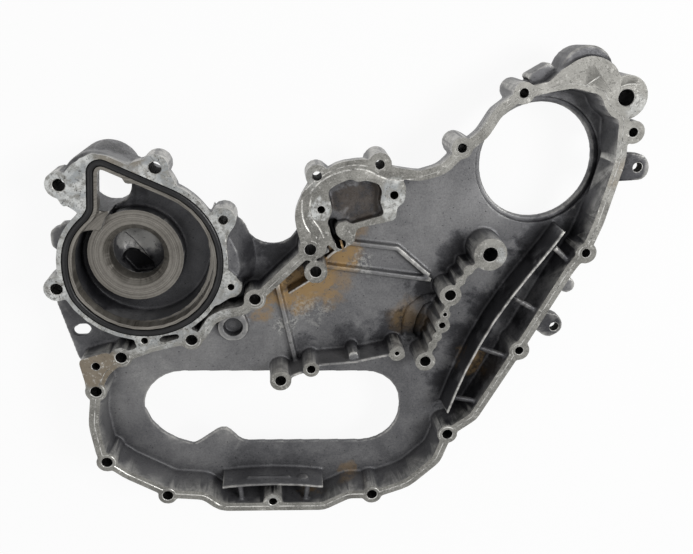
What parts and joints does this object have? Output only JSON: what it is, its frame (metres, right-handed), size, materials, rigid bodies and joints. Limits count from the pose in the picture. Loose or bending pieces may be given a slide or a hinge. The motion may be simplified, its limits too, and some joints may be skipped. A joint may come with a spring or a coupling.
{
  "type": "timing cover",
  "caption": "Cast aluminium timing cover with an integral pump bay and seal, chain baffles, bolt bosses, a round opening and a long oval opening.",
  "frame": {"origin": "centre of the footprint, on the surface that the cover lies on", "axes": "+Z out of the gasket face, +X along the cover's length towards the round opening, +Y across it towards the pump side's top"},
  "size_m": [0.4811, 0.4006, 0.0667],
  "materials": {
    "cast_aluminium": "as-cast grey with machined faces, stained",
    "black_rubber": "satin"
  },
  "bodies": {
    "root": {"cover_casting": "cast_aluminium", "pump_seal": "black_rubber"}
  },
  "joints": []
}
